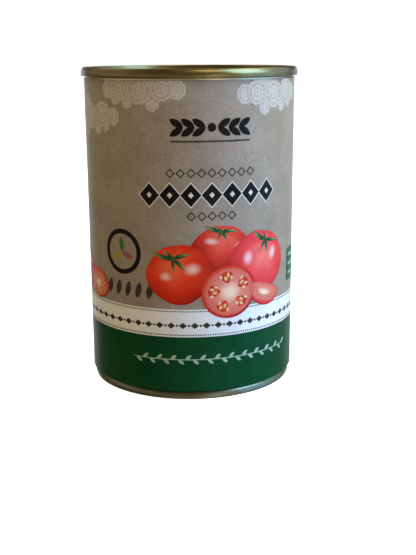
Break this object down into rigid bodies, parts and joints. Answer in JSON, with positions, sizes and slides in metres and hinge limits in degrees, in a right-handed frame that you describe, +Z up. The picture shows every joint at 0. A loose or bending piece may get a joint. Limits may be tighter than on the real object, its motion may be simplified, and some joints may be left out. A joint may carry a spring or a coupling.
{
  "type": "tin of tomatoes",
  "caption": "Shut upright steel food tin with seamed gold top end, necked bottom end and wrapped paper label, holding chopped tomatoes on a shelf.",
  "frame": {"origin": "middle of the circle that the tin stands on, at floor level", "axes": "+Z up along the tin's axis; -Y is the front of the label, +X to the viewer's right"},
  "size_m": [0.0754, 0.0754, 0.11],
  "materials": {
    "tinplate": "satin tinplate",
    "gold_lacquer": "semi-gloss clear gold lacquer over tinplate",
    "bare_end": "satin tinplate",
    "kraft_paper": "satin grey-brown kraft look with white and green bands"
  },
  "bodies": {
    "root": {"steel_body": "tinplate", "top_end": "gold_lacquer", "bottom_end": "bare_end", "paper_label": "kraft_paper"}
  },
  "joints": []
}
